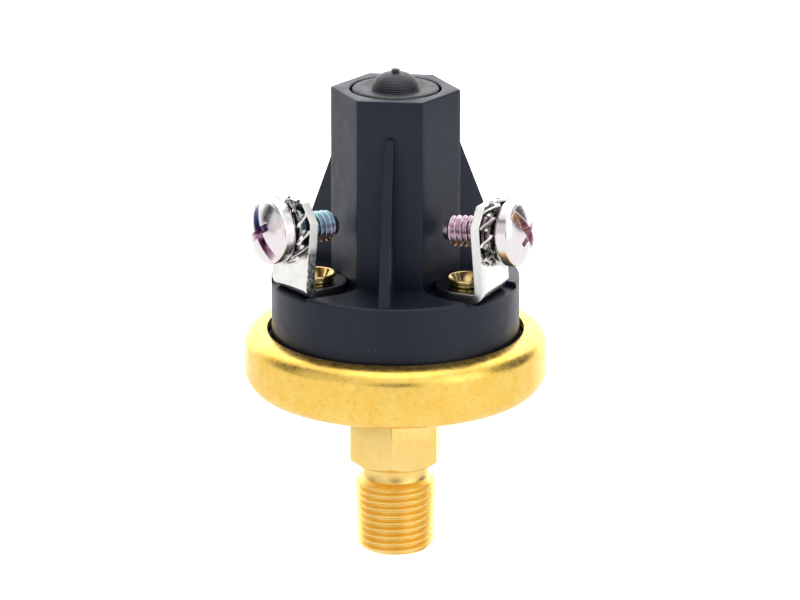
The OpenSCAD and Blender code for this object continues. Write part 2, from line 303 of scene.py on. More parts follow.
class Finish(Nodes):
    """A Principled material, kept in FINISHES under its name."""

    def __init__(self, name, **sockets):
        self.material = bpy.data.materials.new(name)
        self.material.use_nodes = True
        super().__init__(self.material.node_tree)
        self.shader = self.tree.nodes["Principled BSDF"]
        self.place = self.node("TexCoord").outputs["Object"]
        self.set(**sockets)
        FINISHES[name] = self.material

    def set(self, **sockets):
        for key, value in sockets.items():
            self.feed(self.shader.inputs[key.replace("_", " ")], value)

    def noise(self, size, detail, roughness=0.55, stretch=None, distortion=0.0):
        """Noise from 0 to 1 with features of about this many millimetres."""
        place = self.place
        if stretch:
            place = self.node("Mapping", {"Vector": place, "Scale": stretch}).outputs[0]
        return self.node("TexNoise", {
            "Vector": place, "Scale": 1 / (size * MM), "Detail": detail,
            "Roughness": roughness, "Distortion": distortion}).outputs[0]

    def range(self, value, low, high, to_low=0.0, to_high=1.0):
        return self.node("MapRange", {"Value": value, "From Min": low, "From Max": high,
                                      "To Min": to_low, "To Max": to_high}).outputs[0]

    def drift(self, size, detail, low=0.0, high=1.0, **noise):
        """Noise spread over low to high, with features of about this many millimetres."""
        return self.range(self.noise(size, detail, **noise), 0.3, 0.7, low, high)

    def specks(self, size, share, radius):
        """1 inside scattered dots: the cells' size is in millimetres, the radius in cells."""
        cells = self.node("TexVoronoi", {"Vector": self.place, "Scale": 1 / (size * MM)})
        near = self.range(cells.outputs["Distance"], radius, radius * 0.6)
        split = self.node("SeparateColor", {"Color": cells.outputs["Color"]}).outputs[0]
        kept = self.maths("LESS_THAN", split, share)
        return self.maths("MULTIPLY", near, kept)

    def tint(self, factor, first, second):
        """first to second as factor goes from 0 to 1."""
        mix = self.node("Mix", data_type="RGBA")
        for socket, value in ((0, factor), (6, first), (7, second)):
            self.feed(mix.inputs[socket], value)
        return mix.outputs[2]

    def stain(self, mask, strength, base, colour):
        """base, going towards the colour where the mask is 1."""
        return self.tint(self.maths("MULTIPLY", mask, strength), base, colour)

    def ramp(self, value, *stops):
        """The colour at a value between 0 and 1 in a series of (position, colour) stops."""
        made = self.node("ValToRGB", {"Fac": value})
        points = made.color_ramp.elements
        while len(points) < len(stops):
            points.new(0.5)
        for point, (position, colour) in zip(points, stops):
            point.position = position
            point.color = colour
        return made.outputs[0]

    def attribute(self, name):
        return self.node("Attribute", attribute_name=name).outputs["Fac"]

    def bump(self, height, depth, under=None):
        """A bump this many millimetres deep, over another if one is given."""
        made = self.node("Bump", {"Height": height, "Distance": depth * MM})
        if under is not None:
            self.feed(made.inputs["Normal"], under)
        return made.outputs[0]


def rgb(red, green, blue):
    return (red, green, blue, 1.0)


def moulded(name, dark, light, rough, speck):
    """Moulded plastic: faint flow marks, fine grain and a few pale specks of dust."""
    look = Finish(name, Specular_Tint=rgb(0.75, 0.79, 0.96))
    base = look.tint(look.drift(9, 4, distortion=0.8), dark, light)
    dust = look.maths("MAXIMUM", look.specks(0.9, 0.16, 0.09), look.specks(0.42, 0.07, 0.12))
    base = look.stain(dust, 0.5, base, speck)
    polish = look.drift(2.2, 4, rough - 0.05, rough + 0.06)
    grain = look.bump(look.noise(0.11, 2), 0.012)
    soft = look.bump(look.noise(1.4, 3), 0.0168, grain)
    look.set(Base_Color=base, Roughness=polish, Normal=soft)


def tumbled_brass(name, pale, deep, rough, warm):
    """Tumbled sheet brass: satin sheen, small dents, dark pits and a warm stain in places."""
    look = Finish(name, Metallic=1.0)
    cloud = look.range(look.noise(3.2, 5, 0.62), 0.32, 0.68)
    base = look.tint(cloud, pale, deep)
    mottle = look.range(look.noise(0.7, 4, 0.7), 0.5, 0.75)
    base = look.stain(mottle, 0.45, base, warm)
    base = look.stain(look.specks(0.5, 0.22, 0.13), 0.6, base, warm)
    polish = look.drift(0.9, 4, rough - 0.07, rough + 0.11, roughness=0.65)
    grain = look.bump(look.noise(0.16, 3, 0.6), 0.012)
    dents = look.bump(look.noise(1.1, 3, 0.6), 0.0264, grain)
    look.set(Base_Color=base, Roughness=polish, Normal=dents)


def bar_brass(name, pale, deep, rough, fleck):
    """Sandy bar brass, with fine turning marks round Z."""
    look = Finish(name, Metallic=1.0)
    base = look.tint(look.drift(2.4, 4, roughness=0.6), pale, deep)
    base = look.stain(look.specks(0.34, 0.2, 0.16), 0.55, base, fleck)
    polish = look.drift(0.6, 3, rough - 0.06, rough + 0.1)
    sand = look.bump(look.noise(0.1, 2), 0.008)
    marks = look.bump(look.noise(0.5, 2, stretch=(0.1, 0.1, 6.0)), 0.006, sand)
    look.set(Base_Color=base, Roughness=polish, Normal=marks)


def plated(name, bright, dull, rough):
    """Bright plating over sheet metal: thin scratches and a slightly uneven polish, and painted
    shade, a near-black colour, where the "recess" attribute is high."""
    look = Finish(name, Metallic=1.0)
    base = look.tint(look.range(look.noise(1.6, 4), 0.35, 0.7), bright, dull)
    marks = look.range(look.noise(0.12, 2, stretch=(1, 1, 0.06)), 0.62, 0.72)
    base = look.stain(marks, 0.35, base, dull)
    # painted shade: the colour goes near-black where the "recess" attribute is high
    base = look.tint(look.attribute("recess"), base, rgb(0.07, 0.075, 0.07))
    polish = look.drift(0.8, 3, rough - 0.04, rough + 0.06)
    scratches = look.bump(look.noise(0.14, 2, stretch=(1, 1, 0.05)), 0.003)
    waves = look.bump(look.noise(2.4, 2), 0.004, scratches)
    look.set(Base_Color=base, Roughness=polish, Normal=waves)


def sheared(name, bright, dark):
    """A punched edge: smooth and bright, but torn and dark where the "tear" attribute is high,
    with painted shade, dark and fully metallic, where the "recess" attribute is high.
    """
    look = Finish(name, Metallic=1.0)
    torn = look.attribute("tear")
    grain = look.noise(0.3, 4, 0.7, stretch=(1, 1, 0.6))
    pits = look.range(grain, 0.30, 0.38, 0.75, 0.0)
    ragged = look.range(grain, 0.44, 0.62, 1.0, 0.25)
    share = look.maths("MAXIMUM", look.maths("MULTIPLY", torn, ragged),
                       look.maths("MULTIPLY", pits, look.range(torn, 0.0, 1.0, 0.5, 1.0)))
    base = look.tint(share, bright, dark)
    relief = look.maths("MULTIPLY", grain, look.range(torn, 0.0, 1.0, 0.1, 1.0))
    # painted shade: a dark colour and full metal where the "recess" attribute is high
    painted_shade = look.attribute("recess")
    base = look.tint(painted_shade, base, rgb(0.10, 0.105, 0.11))
    metal = look.maths("MAXIMUM", share, look.maths("MULTIPLY", painted_shade, 2.0))
    look.set(Base_Color=base, Roughness=look.range(share, 0.0, 1.0, 0.28, 0.5),
             Metallic=look.range(metal, 0.0, 0.5, 0.35, 1.0), Normal=look.bump(relief, 0.04))


def film_zinc(name, skin_tones, film_tones, rough):
    """Clear zinc plate: pale outside, with interference colours where its film is thick. The
    "film" attribute is how strong they are and "tone" where they stand in the series."""
    look = Finish(name, Metallic=1.0)
    outside = look.ramp(look.noise(1.6, 2, 0.5, distortion=0.6), *skin_tones)
    spread = look.range(look.noise(0.6, 2, 0.5, distortion=0.5), 0.25, 0.75, -0.14, 0.14)
    inside = look.ramp(look.maths("ADD", look.attribute("tone"), spread), *film_tones)
    base = look.tint(look.attribute("film"), outside, inside)
    polish = look.drift(0.5, 3, rough - 0.05, rough + 0.07)
    fine = look.bump(look.noise(0.2, 3), 0.006)
    look.set(Base_Color=base, Roughness=polish, Normal=fine)


def rubber(name, dark, light):
    """Matte moulded rubber with a dusty bloom."""
    look = Finish(name)
    bloom = look.range(look.noise(1.8, 5, 0.65), 0.35, 0.7)
    base = look.tint(bloom, dark, light)
    polish = look.drift(0.8, 3, 0.38, 0.52)
    fine = look.bump(look.noise(0.12, 3), 0.008)
    look.set(Base_Color=base, Roughness=polish, Normal=fine)


def woven(name, thread, gap):
    """Rubber-coated cloth: the weave shows as a fine square relief."""
    look = Finish(name, Roughness=0.7)
    wave_scale = 320.0
    warp, weft = (look.node("TexWave", {"Vector": look.place, "Scale": wave_scale},
                            bands_direction=along).outputs["Fac"] for along in "XY")
    weave = look.maths("MULTIPLY", warp, weft)
    base = look.tint(look.maths("ADD", weave, look.range(look.noise(2, 3), 0.3, 0.8, 0, 0.3)),
                     gap, thread)
    look.set(Base_Color=base, Normal=look.bump(weave, 0.05))


def spring_wire(name, bright, dark):
    """Drawn spring wire with faint draw lines and heat tint."""
    look = Finish(name, Metallic=1.0)
    base = look.tint(look.range(look.noise(2.5, 4), 0.35, 0.65), bright, dark)
    polish = look.drift(0.3, 3, 0.25, 0.4)
    look.set(Base_Color=base, Roughness=polish, Normal=look.bump(look.noise(0.09, 2), 0.006))


moulded("housing_plastic", rgb(0.003, 0.006, 0.013), rgb(0.005, 0.009, 0.018), 0.42,
        speck=rgb(0.16, 0.17, 0.18))
tumbled_brass("brass_sheet", rgb(1.0, 0.71, 0.18), rgb(0.98, 0.61, 0.11), 0.30,
              warm=rgb(0.62, 0.36, 0.07))
bar_brass("brass_bar", rgb(0.99, 0.74, 0.28), rgb(0.96, 0.65, 0.19), 0.34,
          fleck=rgb(0.55, 0.32, 0.12))
rubber("gasket_rubber", rgb(0.02, 0.02, 0.02), rgb(0.05, 0.05, 0.048))
woven("diaphragm_fabric", rgb(0.50, 0.25, 0.08), rgb(0.16, 0.07, 0.02))
bar_brass("insert_brass", rgb(0.85, 0.62, 0.25), rgb(0.70, 0.47, 0.15), 0.34,
          fleck=rgb(0.35, 0.2, 0.07))
plated("tin_plate", rgb(0.96, 0.95, 0.92), rgb(0.86, 0.85, 0.82), 0.16)
plated("eyelet_brass", rgb(0.97, 0.79, 0.38), rgb(0.66, 0.42, 0.10), 0.16)
plated("contact_copper", rgb(0.86, 0.42, 0.24), rgb(0.6, 0.26, 0.13), 0.3)
plated("contact_silver", rgb(0.93, 0.92, 0.89), rgb(0.7, 0.69, 0.66), 0.28)
plated("plated_steel", rgb(0.72, 0.72, 0.71), rgb(0.5, 0.5, 0.5), 0.3)
moulded("plunger_plastic", rgb(0.55, 0.50, 0.40), rgb(0.65, 0.60, 0.48), 0.45,
        speck=rgb(0.25, 0.2, 0.15))
spring_wire("spring_steel", rgb(0.55, 0.55, 0.56), rgb(0.32, 0.32, 0.35))
spring_wire("black_steel", rgb(0.16, 0.16, 0.17), rgb(0.07, 0.07, 0.08))
rubber("plug_rubber", rgb(0.010, 0.012, 0.017), rgb(0.020, 0.024, 0.032))
plated("nickel_steel", rgb(0.90, 0.89, 0.86), rgb(0.72, 0.71, 0.68), 0.14)
film_zinc("zinc_plate",
          [(0.25, rgb(0.80, 0.86, 0.84)), (0.45, rgb(0.88, 0.85, 0.87)),
           (0.6, rgb(0.90, 0.80, 0.84)), (0.75, rgb(0.88, 0.85, 0.72))],
          [(0.05, rgb(0.30, 0.55, 0.58)), (0.22, rgb(0.10, 0.28, 0.42)),
           (0.38, rgb(0.26, 0.22, 0.42)), (0.52, rgb(0.36, 0.14, 0.20)),
           (0.66, rgb(0.66, 0.50, 0.62)), (0.80, rgb(0.42, 0.27, 0.10)),
           (0.95, rgb(0.88, 0.68, 0.32))], 0.2)
sheared("sheared_edge", rgb(0.94, 0.94, 0.92), rgb(0.05, 0.05, 0.055))


def finish_piece(piece, body, slot_name, node):
    """Gives a piece its material, if it has none, and its place among the bodies, and hides the
    CAD node it stands for.
    """
    if not piece.data.materials:
        piece.data.materials.append(FINISHES[slot_name])
    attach(piece, body)
    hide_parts(node)


# ---- pipe fitting ----

PIPE_PITCH, PIPE_DEPTH, PIPE_FIRST_CREST, PIPE_CREST_WIDTH = 0.9407, 0.62, 0.85, 0.17
PIPE_TAPER = 32  # the radius grows by 1 in this many
FLANK_CURVE = 0.35  # from 0 for straight flanks to 1 for S-shaped ones


def below_crest(heights, turn):
    """How far the pipe thread lies below its crests at some heights, at a share of a turn."""
    phase = (heights - PIPE_FIRST_CREST) / PIPE_PITCH - turn
    off = np.abs(phase - np.round(phase))
    flank = np.clip((off - PIPE_CREST_WIDTH / 2) / (0.5 - PIPE_CREST_WIDTH), 0, 1)
    smooth = flank * flank * (3 - 2 * flank)
    return PIPE_DEPTH * (smooth * FLANK_CURVE + flank * (1 - FLANK_CURVE))


def build_fitting():
    low, high = box_mm("port_fitting")
    cup_bottom = box_mm("brass_cup")[0][2]
    hex_r = (high[1] - low[1]) / 2
    apothem, corner_r = hex_r * sqrt(3) / 2, hex_r - 0.05
    port_r, port_chamfer = 2.05, 0.5
    thread_h, step_h, foot_r, lead_in_r = 9.55, 0.045, 4.2, 4.35
    hex_z, neck_r, neck_fillet, neck_slope = 11.3, 4.22, 0.3, 2.0
    crest_r, crest_z = 5.18, thread_h - 0.75
    chamfer_r, chamfer_slope = hex_r - 1.35, 1.37
    spigot_r, lip_r, lip_z = 4.0, 4.9, high[2] - 0.75
    segments = 192

    heights = np.arange(0.0, thread_h - 0.02, step_h)
    crests = crest_r - (crest_z - heights) / PIPE_TAPER
    lead_in = lead_in_r + heights
    run_out = neck_r + (thread_h - heights) * neck_slope
    columns = []
    for i in range(segments):
        turn = i / segments
        angle = turn * 2 * pi
        # the hexagon's flats are centred on 0, 60, 120 degrees
        off = (degrees(angle) + 30) % 60 - 30
        radius = min(apothem / cos(radians(off)), corner_r)
        edge_z = hex_z + (radius - chamfer_r) / chamfer_slope
        thread = np.minimum(np.minimum(crests - below_crest(heights, turn), lead_in), run_out)
        # the port, then the thread and the neck above it
        outline = [(port_r, high[2] - 0.15), (port_r, port_chamfer), (port_r + port_chamfer, 0)]
        outline += [(foot_r, 0), *zip(thread, heights)]
        outline += [(neck_r + 0.1, thread_h - 0.05), (neck_r, thread_h + 0.05)]
        outline += arc((neck_r + neck_fillet, hex_z - neck_fillet), neck_fillet, 180, 90, 4)
        # the chamfered hexagon
        outline += [(chamfer_r - 0.08, hex_z), (chamfer_r + 0.05, hex_z + 0.06)]
        outline += [(radius - 0.1, edge_z - 0.07), (radius - 0.02, edge_z + 0.03)]
        outline += [(radius, edge_z + 0.14), (radius, cup_bottom - 0.12)]
        # the spigot through the cup, and its lip, peened over inside
        outline += [(radius - 0.12, cup_bottom), (spigot_r, cup_bottom), (spigot_r, lip_z)]
        outline += [(lip_r, lip_z), (lip_r - 0.4, high[2] - 0.1), (lip_r - 0.55, high[2])]
        outline += [(port_r + 0.15, high[2])]
        columns.append(column_at(outline, angle))
    piece = mesh_piece("pipe_fitting", *skin(np.stack(columns), closed_profile=True), sharp=50)
    finish_piece(piece, "switch_body", "brass_bar", "port_fitting")


# ---- brass cup ----

def build_cup():
    low, high = box_mm("brass_cup")
    cup_r, bottom, lip_z = high[0], low[2], high[2]
    thickness, hole_r, lip_r, corner_r, shoulder_r = 1.1, 4.02, 16.37, 3.1, 2.0
    lip_foot = lip_z - thickness
    shoulder = (cup_r - shoulder_r, lip_z - 0.2 - shoulder_r)
    corner = (cup_r - corner_r, bottom + corner_r)
    outline = [(hole_r, bottom)]
    outline += arc(corner, corner_r, -90, 0, 16)
    outline += arc(shoulder, shoulder_r, 0, 78, 16)
    outline += soften([(lip_r + 0.4, lip_z - 0.04, 0), (lip_r, lip_z - 0.1, 0.12),
                       (lip_r + 0.08, lip_foot, 0.12), (lip_r + 0.6, lip_foot, 0)],
                      closed=False)
    outline += arc(shoulder, shoulder_r - thickness, 72, 0, 8)
    outline += arc(corner, corner_r - thickness, 0, -90, 8)
    outline += [(hole_r, bottom + thickness)]
    piece = mesh_piece("cup", *turned(outline, 192))
    finish_piece(piece, "switch_body", "brass_sheet", "brass_cup")


# ---- moulded housing ----

BASE_R, COLUMN_FLATS, COLUMN_BORE, RECESS_DEPTH = 15.82, 14.29, 4.3, 0.7
RIB_PLACES, RIB_INSET, RIB_TOP, RIB_HALF = (30, 150, 270), 0.42, 56.2, 0.675


def housing_base(web_z, base_top, recess_z):
    """The round base, hollow below its web and cut for the terminals, rivets and plunger."""
    low, high = box_mm("housing")
    flange_r, flange_top, foot_top = high[0], 28.1, low[2] + 1.6
    chamber_r, chamber_foot_r = 9.0, 12.6
    outline = soften([
        (0, web_z, 0), (chamber_r, web_z, 0), (chamber_r, foot_top, 0.3),
        (chamber_foot_r, foot_top, 0.3), (chamber_foot_r, low[2], 0.2), (flange_r, low[2], 0.2),
        (flange_r, flange_top - 1, 0.3), (flange_r - 1, flange_top, 0.3),
        (BASE_R, flange_top, 0.3), (BASE_R, base_top, 0.38), (0, base_top, 0)],
        closed=False, steps=5)
    base = mesh_piece("housing_shell", *turned(outline, 144, closed_profile=False))

    recess_r, recess_reach, pocket_r, eyelet_bore = 5.5, 9, 3.0, 1.85
    cutters = []
    for side in ("left", "right"):
        x, y = eyelet_centre(side)
        turn = Matrix.Rotation(atan2(y, x), 4, "Z") @ Matrix.Translation((hypot(x, y), 0, 0))
        recess = arc((0, 0), recess_r, 90, 270, 32)
        recess += [(recess_reach, -recess_r), (recess_reach, recess_r)]
        for plan, bottom, top in ((recess, recess_z, base_top + 2),
                                  (circle(eyelet_bore, 32), web_z - 1, recess_z + 1),
                                  (circle(pocket_r, 40), foot_top - 0.1, web_z)):
            cutters.append(moved(prism(plan, bottom, top), turn))
    cutters.append(prism(circle(COLUMN_BORE, 48), web_z - 1, base_top + 1))
    cut(base, *cutters)
    round_recesses(base, base_top)
    return base


def round_recesses(base, base_top):
    """Rounds the sharp edges on the base's top, apart from its rim and its bore."""
    sharp, near, inner_r, width = 55, 0.05, 6, 0.14
    work = bmesh.new()
    work.from_mesh(base.data)
    edges = []
    for edge in work.edges:
        middle = (edge.verts[0].co + edge.verts[1].co) / 2 / MM
        if (len(edge.link_faces) == 2 and degrees(edge.calc_face_angle(0)) > sharp
                and middle.z > base_top - near and inner_r < middle.xy.length < BASE_R + near):
            edges.append(edge)
    bmesh.ops.bevel(work, geom=edges, offset=width * MM, segments=3, profile=0.5,
                    affect="EDGES", clamp_overlap=True)
    work.to_mesh(base.data)
    work.free()
    shade(base)


def housing_column(web_z, recess_z):
    """(points, faces) of the hexagonal column with its stepped bore."""
    top = box_mm("housing")[1][2]
    insert_z, plug_ledge = box_mm("threaded_insert")[0][2], box_mm("adjuster_plug")[0][2]
    plug_bore_r, insert_r, edge, longest_side = 5.8, 5.4, 0.22, 0.7
    hexagon = soften([(x, y, 0.3) for x, y in circle(COLUMN_FLATS / sqrt(3), 6)])
    plan = []
    for i, point in enumerate(hexagon):
        after = hexagon[(i + 1) % len(hexagon)]
        count = max(1, ceil(np.linalg.norm(after - point) / longest_side))
        plan += [point + (after - point) * k / count for k in range(count)]
    columns = []
    for point in plan:
        reach = np.linalg.norm(point)
        across = point / reach
        profile = [(COLUMN_BORE, web_z + 2), (reach - 0.3, web_z + 2), (reach, recess_z - 1)]
        profile += [(reach, z) for z in np.linspace(recess_z, top - edge, 12)]
        profile += arc((reach - edge, top - edge), edge, 0, 90, 4)
        profile += arc((plug_bore_r + edge, top - edge), edge, 90, 180, 4)
        profile += [(plug_bore_r, plug_ledge), (insert_r, plug_ledge), (insert_r, insert_z),
                    (COLUMN_BORE, insert_z)]
        columns.append([(*(across * r), z) for r, z in profile])
    return skin(np.array(columns), closed_profile=True)


def housing_rib(foot, shoulder):
    """A gusset along +X: thinner towards its top, blunt there, with slightly rounded edges."""
    inner, outer = COLUMN_FLATS / 2, BASE_R - RIB_INSET
    blunt, taper, round_off, root = 0.4, 0.21, 0.1, inner - 1.5
    rows = []
    for z in [foot, *np.linspace(shoulder, RIB_TOP, 24)]:
        reach = outer + (inner + blunt - outer) * max(0, z - shoulder) / (RIB_TOP - shoulder)
        width = RIB_HALF * (1 - taper * (z - foot) / (RIB_TOP - foot))
        row = [(root, -width)]
        row += arc((reach - round_off, -width + round_off), round_off, -90, 0, 3)
        row += arc((reach - round_off, width - round_off), round_off, 0, 90, 3)
        row += [(root, width)]
        rows.append([(x, y, z) for x, y in row])
    return skin_with_caps(np.array(rows))


def build_housing():
    web_z = box_mm("left_contact_strip")[1][2]
    base_top = box_mm("left_terminal")[0][2] + RECESS_DEPTH
    recess_z = base_top - RECESS_DEPTH
    base = housing_base(web_z, base_top, recess_z)
    column = housing_column(web_z, recess_z)
    rib = housing_rib(recess_z - 0.5, base_top)
    ribs = [spun(rib, place) for place in RIB_PLACES]
    merge(base, mesh_piece("column_and_ribs", *joined(column, *ribs), sharp=34))
    base.name = "moulded_housing"
    finish_piece(base, "switch_body", "housing_plastic", "housing")


# ---- adjuster plug ----

def build_plug():
    low, high = box_mm("adjuster_plug")
    ledge, top = low[2], high[2]
    flange_r, flange_top, flange_edge = 5.5, ledge + 3.5, 0.4
    hollow_r, hollow_top = 4.2, ledge + 1.2
    dome_r, dome_top, dome_sweep, bulge = 2.97, top - 0.4, radians(83), 0.85
    dome_h = dome_top - flange_top
    ridges, ridge_h, ridge_fade = 9, 0.05, 1.9
    outline = [(0, hollow_top), (hollow_r, hollow_top), (hollow_r, ledge)]
    outline += [(5.55, ledge), (5.6, ledge + 0.2), (flange_r, flange_top - flange_edge)]
    outline += arc((flange_r - flange_edge, flange_top - flange_edge), flange_edge, 0, 90, 6)
    outline += [(3.75, flange_top), (3.5, flange_top - 0.12), (3.2, flange_top - 0.14)]
    outline += arc((dome_r + 0.18, flange_top), 0.18, 230, 180, 4)
    for t in np.linspace(0, 1, 70):
        angle = t * dome_sweep
        lift = ridge_h * sin(t * 2 * pi * ridges) * max(0, 1 - t * ridge_fade)
        outline.append((dome_r * cos(angle) ** bulge + lift, flange_top + dome_h * sin(angle)))
    # the moulding pip on top
    outline += [(0.46, dome_top), (0.42, top - 0.28), (0.55, top - 0.2), (0.55, top - 0.08),
                (0.42, top), (0, top)]
    piece = mesh_piece("rubber_plug", *turned(outline, 112, closed_profile=False), sharp=44)
    finish_piece(piece, "plug", "plug_rubber", "adjuster_plug")


# ---- terminals ----

STRIP_T, STRIP_HALF, BEND_R, LEG_H, LEG_CORNER = 1.2, 3.97, 1.6, 10.5, 2.2
FOOT_REACH, FOOT_SHIFT, SCREW_H = 4.1, 0.15, 6.76
EYELET_BORE, SCREW_BORE = 1.82, 2.05
# how torn each strip's punched edge is, how far up its leg, and how strong the painted shade on
# its foot is
TORN_SHARE, TORN_REACH, FOOT_PAINTED_SHADE = {"left": 1.0, "right": 0.1}, 0.5, 0.75


def terminal_frame(side):
    """A terminal's eyelet, its bend's centre, and its directions: level along the foot, out
    from the leg, up it and across it."""
    eyelet = Vector((*eyelet_centre(side), box_mm(f"{side}_terminal")[0][2]))
    out = joint_axis(f"{side}_screw_turn").normalized()
    if out.xy.dot(eyelet.xy) < 0:
        out = -out
    level = Vector((out.x, out.y, 0)).normalized()
    up = (UPRIGHT - out.z * out).normalized()
    bend = eyelet + level * (FOOT_REACH - BEND_R) + UPRIGHT * BEND_R
    return eyelet, bend, level, out, up, up.cross(out)


def screw_matrix(side):
    """A screw's matrix: Z outwards along it, Y up the leg, origin on the leg's outer face."""
    _, bend, _, out, up, across = terminal_frame(side)
    origin = bend + out * BEND_R + up * SCREW_H
    return Matrix.Translation(origin) @ Matrix((across, up, out)).transposed().to_4x4()


def strip_loops(inset, leg_start):
    """The flat blank's outline and holes, each shrunk into the metal by an inset."""
    half = STRIP_HALF - inset
    end = leg_start + LEG_H - inset
    corner = LEG_CORNER - inset * (2 - sqrt(2))
    outer = arc((FOOT_SHIFT, 0), half, 90, 270, 32)
    outer += [(end - corner, -half), (end, corner - half), (end, half - corner),
              (end - corner, half)]
    eyelet = circle(EYELET_BORE + inset, 32)
    screw = circle(SCREW_BORE + inset, 32, (leg_start + SCREW_H, 0))
    return [outer, eyelet, screw]


def flat_blank(leg_start):
    """A bmesh of the punched blank: along X, across Y, thickness in Z from the outer face."""
    edge = 0.09  # how far its edges are rounded
    outer = [(0.0, edge), (edge * 0.3, edge * 0.3), (edge, 0.0), (edge * 1.5, 0.0)]
    levels = outer + [(STRIP_T - depth, inset) for depth, inset in reversed(outer)]
    work = bmesh.new()
    rings = [[[work.verts.new((x, y, depth)) for x, y in loop]
              for loop in strip_loops(inset, leg_start)] for depth, inset in levels]
    for lower, upper in zip(rings, rings[1:]):
        for first, second in zip(lower, upper):
            count = len(first)
            for i in range(count):
                j = (i + 1) % count
                work.faces.new((first[i], first[j], second[j], second[i])).material_index = 1
    for ring in (rings[0], rings[-1]):
        edges = [work.edges.get((loop[i], loop[(i + 1) % len(loop)]))
                 for loop in ring for i in range(len(loop))]
        filled = bmesh.ops.triangle_fill(work, edges=edges, use_beauty=True, use_dissolve=False)
        for item in filled["geom"]:
            if isinstance(item, bmesh.types.BMFace):
                item.material_index = 0
    return work


def build_terminal(side):
    """The strip, bent up from its blank; its vertices also carry where it is torn and where
    painted shade darkens it.
    """
    eyelet, bend, level, out, up, across = terminal_frame(side)
    foot = FOOT_REACH - BEND_R
    leg_start = foot + BEND_R * (pi / 2 + asin(out.z))
    work = flat_blank(leg_start)
    torn_top = leg_start + TORN_REACH * LEG_H
    # rows of vertices to bend the strip at, and more where its leg's edge stops being torn
    for at in [*np.linspace(foot, leg_start, 15), leg_start + 1.5, torn_top - 0.8, torn_top]:
        bmesh.ops.bisect_plane(work, geom=work.verts[:] + work.edges[:] + work.faces[:],
                               plane_co=(at, 0, 0), plane_no=(1, 0, 0))
    tear, recess = (work.verts.layers.float.new(name) for name in ("tear", "recess"))
    for vert in work.verts:
        along, side_way, depth = vert.co
        torn = np.clip(min(along - foot, torn_top - along), 0, 1)
        # painted shade: full on the foot, fading out over the bend, stored in the "recess"
        # attribute
        shaded = np.clip((leg_start - 0.4 - along) / (leg_start - foot), 0, 1)
        vert[tear], vert[recess] = TORN_SHARE[side] * float(torn), FOOT_PAINTED_SHADE * float(shaded)
        if along <= foot:
            point = eyelet + level * along + UPRIGHT * depth
        elif along >= leg_start:
            point = bend + out * (BEND_R - depth) + up * (along - leg_start)
        else:
            angle = (along - foot) / BEND_R - pi / 2
            point = bend + (BEND_R - depth) * (level * cos(angle) + UPRIGHT * sin(angle))
        vert.co = (point + across * side_way) * MM
    mesh = bpy.data.meshes.new(f"{side}_bracket")
    work.to_mesh(mesh)
    work.free()
    piece = object_of(mesh.name, mesh, sharp=32)
    for finish in ("tin_plate", "sheared_edge"):
        mesh.materials.append(FINISHES[finish])
    finish_piece(piece, "switch_body", "tin_plate", f"{side}_terminal")


def build_eyelet(side):
    low, high = box_mm(f"{side}_eyelet")
    foot, top = low[2], box_mm(f"{side}_terminal")[0][2] + STRIP_T
    tube_r, bore_r, foot_r, foot_top = 1.8, 1.35, 2.4, foot + 0.45
    lip_r, lip = 2.5, high[2] - 0.25
    outline = soften([
        (bore_r, foot, 0.1), (foot_r, foot, 0.2), (foot_r, foot_top, 0.2),
        (tube_r, foot_top, 0.05), (tube_r, top + 0.02, 0.05), (2.1, top + 0.04, 0.1),
        (2.08, lip - 0.62, 0.2), (lip_r, lip - 0.36, 0.12), (lip_r, lip - 0.08, 0.12),
        (2.36, lip, 0.1), (2.2, lip - 0.05, 0.1), (1.85, lip - 0.5, 0.3),
        (bore_r, top - 0.1, 0.5)], steps=5)
    rivet = moved(turned(outline, 72), Matrix.Translation((*eyelet_centre(side), 0)))
    piece = mesh_piece(f"{side}_rivet", *rivet)
    finish_piece(piece, "switch_body", "eyelet_brass", f"{side}_eyelet")


# ---- terminal screws and washers ----

WASHER_SPACE, HEAD_R, HEAD_H, RIM_H = 2.1, 4.15, 3.05, 1.7
SCREW_PITCH, SCREW_R, SCREW_LEN, THREAD_DEPTH = 0.79375, 2.0, 8.5, 0.45
POINT_R, POINT_LEN, CREST_ROUND = 1.2, 0.65, 0.22
SLOT_ROLL, SLOT_HALF, SLOT_DEPTH = 127, 0.7, 1.2
FINE_VOXEL, COARSE_VOXEL = 0.06, 0.12
SHANK_FILM = 0.8
# where each screw's film colours stand, and how they change with height: head, then shank
FILM_TONES = {"left": (0.45, -0.30, 0.32, -0.22), "right": (0.66, 0.20, 0.62, -0.06)}


def reach_along(piece, matrix):
    """Each point's distance from an axis, its place up the leg and its place along the axis."""
    local = np.array(matrix.inverted())
    points = np.array([vert.co for vert in piece.data.vertices]) / MM
    across, up, out = (points @ local[:3, :3].T + local[:3, 3]).T
    return np.hypot(across, up), up, out


def paint(piece, name, values):
    """Stores a number per point for the piece's material."""
    layer = piece.data.attributes.new(name, "FLOAT", "POINT")
    layer.data.foreach_set("value", np.asarray(values, np.float32))


